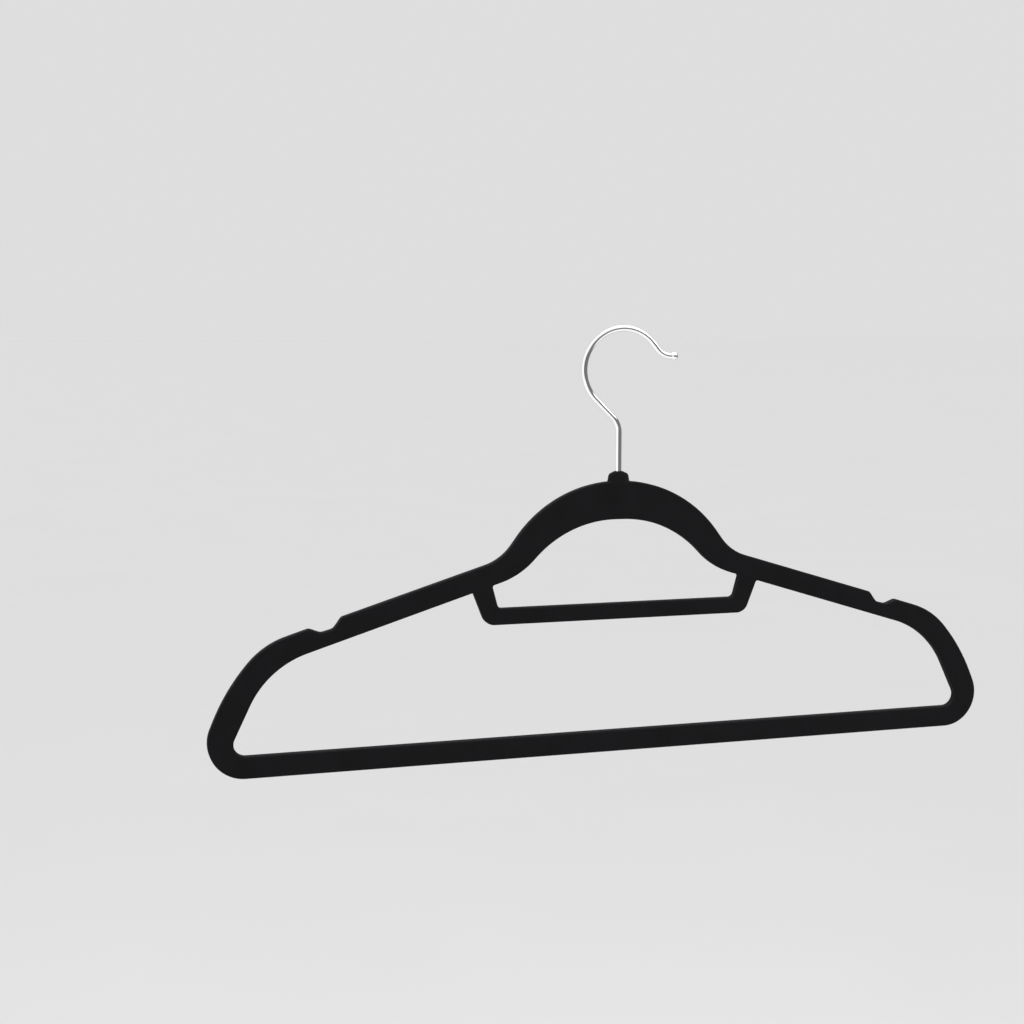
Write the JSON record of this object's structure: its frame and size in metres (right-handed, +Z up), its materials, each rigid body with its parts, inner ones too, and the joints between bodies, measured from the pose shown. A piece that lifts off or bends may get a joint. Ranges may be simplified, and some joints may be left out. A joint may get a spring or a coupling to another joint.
{
  "type": "clothes hanger",
  "caption": "Slim flocked clothes hanger with a swivelling chromed wire hook, strap notches, a tie bar under the neck and a trouser bar.",
  "frame": {"origin": "where the clothes rail bears: the inside top of the hook, on the stem's axis", "axes": "+X along the shoulders towards the hook's open side, -Y the front, +Z up along the stem"},
  "size_m": [0.45, 0.008, 0.2352],
  "materials": {
    "core_plastic": "moulded, hidden under the flock",
    "flock": "short black velvet pile",
    "chromed_wire": "bright plated",
    "bush_brass": "turned",
    "washer_steel": "stamped",
    "clip_steel": "spring steel"
  },
  "bodies": {
    "hook": {"hook_wire": "chromed_wire", "stem_clip": "clip_steel"},
    "hanger": {"core_front": "core_plastic", "core_rear": "core_plastic", "flock_front": "flock", "flock_rear": "flock", "swivel_bush": "bush_brass", "thrust_washer": "washer_steel"}
  },
  "joints": [
    {"name": "hook_swivel", "type": "hinge", "parent": "hook", "child": "hanger", "pos_m": [0, 0, -0.0769], "axis": [0, 0, 1], "continuous": true}
  ]
}
